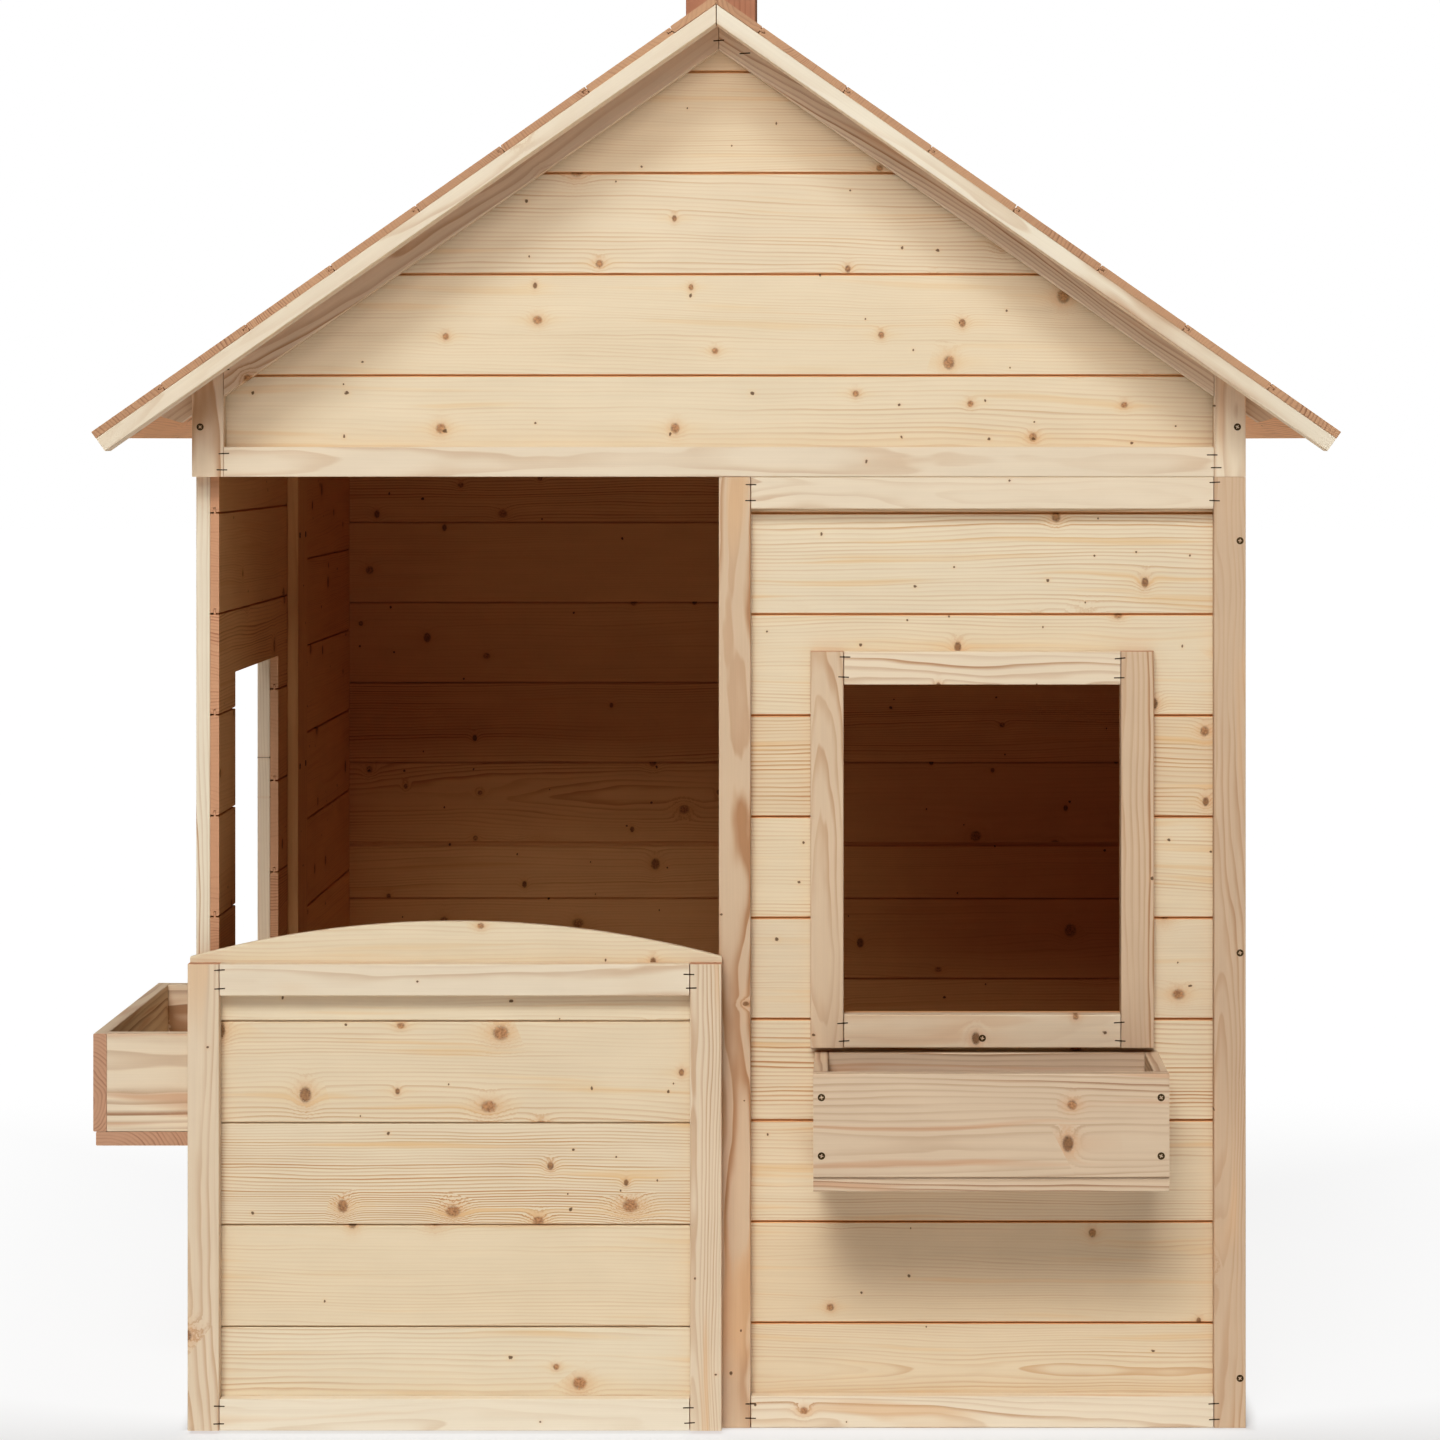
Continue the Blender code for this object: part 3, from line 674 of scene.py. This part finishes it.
def build_gable(side):
    _, apex_z = roof_apex()
    corner, length, depth, _ = wall_corner(f"{side}_gable_frame", side)
    along, inward = FACINGS[side]
    half = length / 2
    top = apex_z - 0.0006 / COS
    middle = corner + along * half
    middle.z = 0.0
    piece = Timber(f"{side}_gable_battens", "house", BATTENS, f"{side}_gable_frame")
    post = eased(BATTEN, depth)
    for sign in (-1, 1):

        def cut(v, w, sign=sign):
            x = (half - v) if sign < 0 else (half - BATTEN + v)
            return top - x * TAN - corner.z

        start = 0.0 if sign < 0 else length - BATTEN
        plank = piece.plank(BATTEN, figure=0.75)
        piece.straight(upright(corner, side, start), post, 0.0, cut, plank)
    rail = eased(GABLE_RAIL, depth)
    plank = piece.plank(GABLE_RAIL, figure=0.35)
    piece.straight(level(corner, side), rail, BATTEN + HAIR, length - BATTEN - HAIR, plank)
    for sign in (-1, 1):
        down = along * (sign * COS) - UP * SIN
        below = -along * (sign * SIN) - UP * COS
        ridge = middle + UP * top
        place = axes(ridge, down, below, inward)
        reach = half - BATTEN - HAIR

        def at_ridge(v, w):
            return (v * SIN + HAIR) / COS

        def at_post(v, w, reach=reach):
            return (reach + v * SIN) / COS

        piece.straight(place, rail, at_ridge, at_post, piece.plank(GABLE_RAIL, figure=0.8))
        x = half + sign * (half - BATTEN)
        z = top - (half - BATTEN) * TAN - 0.012 - corner.z
        STAPLES["house"].append((corner, side, x, z))
        for share in (0.24, 0.76):
            STAPLES["house"].append((corner, side, x, share * GABLE_RAIL))
        SCREWS.append((corner, side, half + sign * (half - 0.0095), 0.0565))
    STAPLES["house"].append((corner, side, half, top - corner.z - 0.030))
    STAPLES["house"].append((corner, side, half + 0.030, top - corner.z - 0.046))
    piece.make()

    node = f"{side}_gable_boards"
    corner, length, depth, height = wall_corner(node, side)
    boards = Timber(node + "_looks", "house", BOARDS, node)
    boards.inner_from = BEHIND_FACE
    edges = [0.0] + joints_below(height)
    edges = [edge for edge in edges if edge < height - 0.02] + [height - 0.0008]

    def left_cut(v, w):
        return half - min(half, max(0.0005, (top - corner.z - v) / TAN))

    def right_cut(v, w):
        return half + min(half, max(0.0005, (top - corner.z - v) / TAN))

    for number, (low, high) in enumerate(zip(edges, edges[1:])):
        groove, tongue = number > 0, number < len(edges) - 2
        plank = boards.plank(COVER)
        profile = board_profile(low, high, depth, groove, tongue)
        boards.straight(level(corner, side), profile, left_cut, right_cut, plank)
    boards.make()


def roof_place(side, front):
    """One slope: its start at the ridge, the way down it, and the way down through the roof."""
    apex_x, apex_z = roof_apex()
    sign = 1 if side == "right" else -1
    down = Vector((sign * COS, 0, -SIN))
    below = Vector((-sign * SIN, 0, -COS))
    return Vector((apex_x, front, apex_z)), down, below


def build_roof():
    for side in ("left", "right"):
        low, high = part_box(f"{side}_roof_boards")
        thick = ROOF_THICKNESS
        origin, down, below = roof_place(side, low.y)
        length = high.y - low.y
        slope = (max(high.x - origin.x, origin.x - low.x) - thick * SIN) / COS
        back = FACINGS["front"][1]
        piece = Timber(f"{side}_roof_boards_looks", "house", ROOF, f"{side}_roof_boards")
        piece.inner_from = BEHIND_FACE
        edges = [0.0] + joints_below(slope, FIRST_ROOF_BOARD) + [slope]
        for number, (near, far) in enumerate(zip(edges, edges[1:])):
            last = len(edges) - 2
            profile = board_profile(near, far, thick, number > 0, number < last, gap=0.0004)
            if number == 0:
                profile[:2] = [(-thick * TAN + HAIR, 0.0), (HAIR, thick)]
            # Boards are laid by hand: some end short, and some lie a little lower
            shift = 0.0 if number in (0, last) else piece.rng.uniform(-0.0016, 0.0)
            raised = 0.0 if number == 0 else piece.rng.uniform(-0.0004, 0.0)
            board_place = axes(origin - below * (thick + raised), back, down, below)
            piece.straight(board_place, profile, -shift, length + shift, piece.plank(COVER))
            if far - near < 0.08:
                continue
            for y in (ROOF_SCREW, length - ROOF_SCREW):
                for across in (0.25, 0.75):
                    spot = near + (far - near) * across
                    ROOF_SCREWS.append((board_place(y, spot, 0.0), -below))
        piece.make()
        for end in ("front", "rear"):
            build_rafter(side, f"{side}_{end}_bargeboard", BARGEBOARD, 0.0)
            build_rafter(side, f"{side}_{end}_roof_batten", ROOF_BATTEN, ROOF_BATTEN_START)
        build_eave(side)


def build_rafter(side, node, height, start):
    """A batten under the slope. One that starts below the ridge has a chamfer on its lower end."""
    low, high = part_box(node)
    origin, down, below = roof_place(side, low.y)
    reach = max(high.x - origin.x, origin.x - low.x)
    piece = Timber(node + "_looks", "house", BATTENS, node)
    place = axes(origin + below * HAIR, down, below, Vector((0, 1, 0)))

    def at_ridge(v, w):
        return max(start, (v * SIN + SEAM) / COS)

    def chamfered(v, w):
        return reach / COS - max(0.0, v - CHAMFER_FROM) * 0.8

    profile = eased(height, high.y - low.y)
    if start:
        add_chamfer_points(profile, height)
    plank = piece.plank(height, figure=0.5, knotty=0.3)
    piece.straight(place, profile, at_ridge, chamfered if start else reach / COS, plank)
    piece.make()


def add_chamfer_points(points, height):
    """Adds the points of an eased rectangle where the chamfer on the end starts."""
    at = next(i for i in range(len(points)) if points[i][0] > height / 2)
    points.insert(at, (CHAMFER_FROM, points[at][1]))
    at = next(i for i in range(len(points) - 1, 0, -1) if points[i][0] > height / 2)
    points.insert(at + 1, (CHAMFER_FROM, points[at][1]))


def build_eave(side):
    """The board under the eave, lower at its ends to pass under the roof battens."""
    node = f"{side}_eave_board"
    corner, length, depth, height = wall_corner(node, side)
    piece = Timber(node + "_looks", "house", BATTENS, node)
    notch_height = height - ROOF_BATTEN / COS - 0.0006
    plank = piece.plank(height, figure=0.6, knotty=0.6)
    profile = eased(height, depth, 0.0008)
    place = level(corner, side)
    piece.straight(place, profile, EAVE_NOTCH, length - EAVE_NOTCH, plank)
    short = eased(notch_height, depth, 0.0008)
    piece.straight(place, short, 0.0, EAVE_NOTCH, plank, (True, False))
    piece.straight(place, short, length - EAVE_NOTCH, length, plank, (False, True))
    piece.make()


def build_chimney():
    apex_x, apex_z = roof_apex()
    thick_cut = ROOF_THICKNESS / COS + HAIR

    def foot(x):
        return apex_z - abs(x - apex_x) * TAN + thick_cut

    for name in ("front", "rear"):
        node = f"chimney_{name}_board"
        low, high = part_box(node)
        width, depth = high.x - low.x, high.y - low.y
        piece = Timber(node + "_looks", "house", CHIMNEY, node)
        place = axes(Vector((low.x, low.y, 0.0)), UP, Vector((1, 0, 0)), Vector((0, 1, 0)))

        def cut(v, w, left=low.x):
            return foot(left + v)

        profile = eased(width, depth, 0.0012, mids=True)
        piece.straight(place, profile, cut, high.z, piece.plank(width, figure=0.8))
        piece.make()
        corner = wall_corner(node, name)[0]
        for x in (0.008, width - 0.008):
            for z in (foot(low.x) + 0.055, high.z - 0.022):
                SCREWS.append((corner, name, x, z - corner.z))
    for name in ("left", "right"):
        node = f"chimney_{name}_board"
        low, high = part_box(node)
        piece = Timber(node + "_looks", "house", CHIMNEY, node)
        place = axes(Vector((low.x, low.y, 0.0)), UP, Vector((0, 1, 0)), Vector((1, 0, 0)))

        def cut(v, w, left=low.x):
            return foot(left + w)

        profile = eased(high.y - low.y, high.x - low.x, 0.0010)
        piece.straight(place, profile, cut, high.z, piece.plank(0.05, figure=0.8))
        piece.make()


# Flower boxes


def build_planter(name, facing):
    along, inward = FACINGS[facing]
    for part in ("front_board", "end_board_a", "end_board_b", "back_board", "bottom_board"):
        node = f"{name}_{part}"
        corner, length, depth, height = wall_corner(node, facing)
        if part == "front_board":
            corner, depth = corner + inward * HEAD_PROUD, depth - HEAD_PROUD
        piece = Timber(node + "_looks", "house", PLANTERS, node)
        tone = 0.38 if facing == "front" else 1.0
        plank = piece.plank(height, tone=tone, figure=piece.rng.uniform(0.7, 1.0))
        if part.startswith("end"):
            place = axes(corner, inward, UP, along)
            piece.straight(place, eased(height, length), 0.0, depth, plank)
        elif part == "bottom_board":
            place = axes(corner, along, inward, UP)
            piece.straight(place, eased(depth, height), 0.0, length, plank)
        else:
            piece.straight(level(corner, facing), eased(height, depth), 0.0, length, plank)
        piece.make()
        if part == "front_board":
            for x in (0.009, length - 0.009):
                for z in (0.0235, height - 0.026):
                    SCREWS.append((corner, facing, x, z))


# Half door


def build_door():
    frame_piece("door_frame", "front", body="half_door", width=DOOR_BATTEN)
    node = "door_boards"
    corner, length, depth, height = wall_corner(node, "front")
    piece = Timber("door_boards_looks", "half_door", BOARDS, node)
    shoulder = DOOR_SHOULDER - corner.z
    rise = height - shoulder
    radius = (length**2 / 4 + rise**2) / (2 * rise)

    def arch(x):
        return shoulder - (radius - rise) + math.sqrt(radius**2 - (x - length / 2) ** 2)

    edges = [0.0] + joints_below(shoulder - 0.03, FIRST_DOOR_JOINT - corner.z)
    place = level(corner, "front")
    for number, (low, high) in enumerate(zip(edges, edges[1:])):
        profile = board_profile(low, high, depth, number > 0, True)
        piece.straight(place, profile, 0.0, length, piece.plank(COVER))
    low, ease = edges[-1], 0.0012
    stations = []
    for i in range(ARCH_STEPS + 1):
        x = length * i / ARCH_STEPS
        top = arch(x)
        side = top - ease
        loop = board_profile(low, side, depth, True, False)[:-2]
        loop += [(side, depth), (top, depth - ease), (top, ease), (side, 0.0)]
        stations.append([(x, v, w) for v, w in loop])
    piece.loft(place, stations, piece.plank(COVER, knotty=0.2))
    piece.make()


# Fixings


def mesh_piece(name, body, verts, faces, material):
    mesh = bpy.data.meshes.new(name)
    mesh.from_pydata(verts, [], faces)
    mesh.materials.append(material)
    mesh.update()
    piece = bpy.data.objects.new(name, mesh)
    bpy.context.scene.collection.objects.link(piece)
    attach(piece, body)


# A staple's wire: its section as (across, deep), and its crown as (along, sunk)
WIRE = ((-0.00078, 0.0005), (-0.00055, -0.00028), (0.00055, -0.00028), (0.00078, 0.0005))
CROWN = ((-0.0062, 0.0004), (-0.0056, 0.0), (0.0056, 0.0), (0.0062, 0.0004))


def build_staples():
    for body, spots in STAPLES.items():
        rng = random.Random(body)
        verts, faces = [], []
        for corner, facing, x, z in spots:
            along, inward = FACINGS[facing]
            turn = rng.gauss(0.0, 0.05)
            shift = rng.gauss(0.0, 0.0012)
            centre = corner + along * (x + shift) + UP * (z + rng.gauss(0.0, 0.0012))
            run = along * math.cos(turn) + UP * math.sin(turn)
            side = run.cross(inward)
            base = len(verts)
            for reach, sunk in CROWN:
                for across, depth in WIRE:
                    verts.append(centre + run * reach + side * across + inward * (depth + sunk))
            own = []
            for s in range(3):
                for i in range(4):
                    j = (i + 1) % 4
                    own.append((s * 4 + i, s * 4 + j, s * 4 + 4 + j, s * 4 + 4 + i))
            own += [(3, 2, 1, 0), (12, 13, 14, 15)]
            if signed_volume(verts[base:], own) < 0:
                own = [face[::-1] for face in own]
            faces += [tuple(i + base for i in face) for face in own]
        mesh_piece(f"{body}_staples", body, verts, faces, STAPLE)


def screw_head(verts, faces, centre, right, out, radius, turn):
    """A countersunk head with a cross recess."""
    up = out.cross(right)
    arm, reach = radius * 0.15, radius * 0.55
    cross = [(reach, -arm), (reach, arm), (arm, arm), (arm, reach), (-arm, reach), (-arm, arm)]
    cross += [(-reach, arm), (-reach, -arm), (-arm, -arm)]
    cross += [(-arm, -reach), (arm, -reach), (arm, -arm)]
    base = len(verts)
    rows = []
    for size, height in ((1.0, -0.0012), (1.0, 0.00005), (0.93, 0.00030), (0.75, 0.00034)):
        row = []
        for x, y in cross:
            angle = math.atan2(y, x)
            row.append((math.cos(angle) * radius * size, math.sin(angle) * radius * size, height))
        rows.append(row)
    rows.append([(x, y, 0.00030) for x, y in cross])
    rows.append([(x * 0.8, y * 0.8, -0.0009) for x, y in cross])
    c, s = math.cos(turn), math.sin(turn)
    for row in rows:
        for x, y, h in row:
            verts.append(centre + right * (x * c - y * s) + up * (x * s + y * c) + out * h)
    own = []
    for r in range(len(rows) - 1):
        for i in range(12):
            j = (i + 1) % 12
            own.append((r * 12 + i, r * 12 + j, r * 12 + 12 + j, r * 12 + 12 + i))
    last = (len(rows) - 1) * 12
    own.append(tuple(range(last, last + 12)))
    own.append(tuple(range(12))[::-1])
    if signed_volume([v - centre for v in verts[base:]], own) < 0:
        own = [face[::-1] for face in own]
    faces += [tuple(i + base for i in face) for face in own]


def screw_piece(name, body, spots, radius, seed):
    """One piece of screw heads at (centre, right, outward), each turned by chance."""
    rng = random.Random(seed)
    verts, faces = [], []
    for centre, right, out in spots:
        screw_head(verts, faces, centre, right, out, radius, rng.uniform(0, math.pi / 2))
    mesh_piece(name, body, verts, faces, SCREW)


def build_screws():
    spots = []
    for corner, facing, x, z in SCREWS:
        along, inward = FACINGS[facing]
        spots.append((corner + along * x + UP * z, along, -inward))
    screw_piece("house_screws", "house", spots, 0.0041, "housescrews")
    back = FACINGS["front"][1]
    spots = [(centre, back, out) for centre, out in ROOF_SCREWS]
    screw_piece("roof_screws", "house", spots, 0.0032, "nails")


def place_screws():
    """The screws of the panels, the front window and the battens where panels meet."""
    corner, length, _, height = wall_corner("front_panel_frame", "front")
    for z in (0.056, 0.5375, height - 0.072):
        SCREWS.append((corner, "front", length - PANEL_SCREW, z))
    corner, length, _, _ = wall_corner("front_window_frame", "front")
    SCREWS.append((corner, "front", length / 2, 0.011))
    for side in ("left", "right"):
        corner, length, _, _ = wall_corner(f"rear_lower_{side}_panel_frame", "rear")
        above = wall_corner(f"rear_upper_{side}_panel_frame", "rear")[0]
        x = PANEL_SCREW if side == "right" else length - PANEL_SCREW
        for panel in (corner, above):
            for z in (0.060, 0.470):
                SCREWS.append((panel, "rear", x, z))
    for name, facing in (("left", "right"), ("right", "left"), ("rear", "front")):
        corner, length, _, height = wall_corner(f"{name}_joint_batten", facing)
        for x in (0.2 * length, 0.8 * length):
            for z in (0.08, 0.40, 0.70, height - 0.08):
                SCREWS.append((corner, facing, x, z))


def build_hinge():
    """Screws in the two leaves. The strip itself keeps its CAD shape."""
    x = frame["joints"][0]["pos_m"][0] + 0.0011
    along, inward = FACINGS["left"]
    for node, body in (("hinge_fixed_leaf", "house"), ("hinge_moving_leaf", "half_door")):
        low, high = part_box(node)
        y = high.y - LEAF_SCREW if body == "house" else low.y + LEAF_SCREW
        heights = [low.z + (high.z - low.z) * (i + 0.5) / 7 for i in range(7)]
        spots = [(Vector((x, y, z)), along, -inward) for z in heights]
        screw_piece(f"{body}_hinge_screws", body, spots, 0.0026, body + "hinge")
    for node in ("hinge_fixed_leaf", "hinge_moving_leaf", "hinge_pin"):
        mesh = frame["nodes"][node].data
        mesh.materials.clear()
        mesh.materials.append(HINGE)


# Stage

# The picture's tones: the darkest are pulled down by TOE, the others lifted a little
TOE = 0.04
TONES = (
    (0.02, 1.0),
    (0.045, 1.0),
    (0.08, 1.0),
    (0.13, 1.0),
    (0.2, 1.0),
    (0.3, 1.02),
    (0.45, 1.07),
    (0.62, 1.09),
    (0.8, 1.065),
    (0.9, 1.035),
)
WORLD_LIGHT = 0.11
NEAR_GLOW = 0.82
FRONT_GLOW = 0.22
KEY = 67.5
GABLE_LIGHT = 3.4
FLOOR_REACH = 40.0
LENS, SENSOR = 89.75, 36.0  # in millimetres
SHIFT_X, SHIFT_Y = -13 / 144, -7 / 36  # shares of the picture's width


def soft_light(name, place, target, size, power, spread):
    """A large lamp whose light fades away from its axis, to nothing at half the spread."""
    data = bpy.data.lights.new(name, "AREA")
    data.spread = math.radians(spread)
    data.shape = "RECTANGLE"
    data.size, data.size_y = size
    data.energy = power
    lamp = bpy.data.objects.new(name, data)
    lamp.location = place
    lamp.rotation_euler = (Vector(target) - Vector(place)).to_track_quat("-Z", "Y").to_euler()
    bpy.context.scene.collection.objects.link(lamp)


def set_tones():
    view = bpy.context.scene.view_settings
    view.view_transform = "Standard"
    view.use_curve_mapping = True
    curve = view.curve_mapping.curves[3]
    curve.points[0].location = (0.0, 0.0)
    curve.points[1].location = (1.0, 1.0)
    for x, lift in TONES:
        curve.points.new(x, x * x / (x + TOE) * (1.0 + TOE) * lift)
    view.curve_mapping.update()


def floor_finish():
    """Pale ground that glows, as the photo's is white: less in front, and not inside the house."""
    n = Nodes("studio_floor")
    coordinates = n.tree.nodes.new("ShaderNodeTexCoord").outputs["Object"]
    shade = n.noise(n.scaled(coordinates, (3.0, 3.0, 3.0)), 3.0)
    n.put(n.shader.inputs["Roughness"], n.fit(shade, 0.0, 1.0, 0.75, 0.9))
    x, y, _ = n.split(coordinates)
    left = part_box("left_front_panel_frame")[0].x
    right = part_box("right_front_panel_frame")[1].x
    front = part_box("front_panel_frame")[0].y
    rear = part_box("rear_lower_left_panel_frame")[1].y
    beside = n.math("MAXIMUM", n.sub(left, x), n.sub(x, right))
    behind = n.math("MAXIMUM", n.sub(front, y), n.sub(y, rear))
    away = n.math("MAXIMUM", beside, behind)
    edge = n.fit(away, -0.005, 0.02, 0.0, 1.0)
    glow = n.mul(edge, n.fit(away, 0.0, 1.0, NEAR_GLOW, 1.0, True))
    spread = n.fit(beside, 0.0, 4.0, 0.15, 3.0)
    ahead = n.fit(n.sub(front, y), n.mul(spread, -1.0), spread, 0.0, 1.0, True)
    front_glow = n.fit(n.sub(front, y), 4.5, 8.5, FRONT_GLOW, 1.0, True)
    glow = n.math("MINIMUM", glow, n.fit(ahead, 0.0, 1.0, 1.0, front_glow))
    pale = n.mix(shade, (0.78, 0.78, 0.775), (0.82, 0.82, 0.82))
    n.put(n.shader.inputs["Base Color"], n.mix(glow, pale, (0.0, 0.0, 0.0)))
    n.put(n.shader.inputs["Emission Strength"], glow)
    n.shader.inputs["Emission Color"].default_value = (1.0, 1.0, 1.0, 1.0)
    n.shader.inputs["Specular IOR Level"].default_value = 0.1
    return n.material


def build_floor():
    mesh = bpy.data.meshes.new("studio_floor")
    corners = [(-1, -1), (1, -1), (1, 1), (-1, 1)]
    verts = [(x * FLOOR_REACH, y * FLOOR_REACH, -0.0002) for x, y in corners]
    mesh.from_pydata(verts, [], [(0, 1, 2, 3)])
    mesh.materials.append(floor_finish())
    floor = bpy.data.objects.new("studio_floor", mesh)
    bpy.context.scene.collection.objects.link(floor)


def build_world():
    """A white background that lights the house only weakly."""
    world = bpy.data.worlds.new("studio")
    world.use_nodes = True
    tree = world.node_tree
    background = tree.nodes["Background"]
    background.inputs["Color"].default_value = (1.0, 1.0, 1.0, 1.0)
    path = tree.nodes.new("ShaderNodeLightPath")
    strength = tree.nodes.new("ShaderNodeMapRange")
    strength.inputs["To Min"].default_value = WORLD_LIGHT
    strength.inputs["To Max"].default_value = 1.0
    tree.links.new(path.outputs["Is Camera Ray"], strength.inputs["Value"])
    tree.links.new(strength.outputs[0], background.inputs["Strength"])
    bpy.context.scene.world = world


def build_camera(front):
    data = bpy.data.cameras.new("camera")
    data.lens, data.sensor_width = LENS, SENSOR
    data.shift_x, data.shift_y = SHIFT_X, SHIFT_Y
    camera = bpy.data.objects.new("camera", data)
    apex_x, _ = roof_apex()
    camera.location = (apex_x + 0.1485, front - 4.063, 1.118)
    camera.rotation_euler = (math.radians(90.0), 0.0, 0.0)
    bpy.context.scene.collection.objects.link(camera)
    bpy.context.scene.camera = camera


def build_stage():
    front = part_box("front_panel_frame")[0].y
    set_tones()
    build_floor()
    build_world()
    soft_light("key", (-1.0, front - 6.0, 6.2), (0.0, front, -1.2), (7.0, 2.8), KEY, 43.0)
    gable = (0.0, front, 1.75)
    soft_light("gable_light", (-0.2, front - 3.7, 2.8), gable, (2.2, 0.8), GABLE_LIGHT, 38.0)
    build_camera(front)


build_walls()
build_gable("front")
build_gable("rear")
build_roof()
build_chimney()
build_planter("front_planter", "front")
build_planter("left_planter", "left")
build_door()
place_screws()
build_staples()
build_screws()
build_hinge()
build_stage()
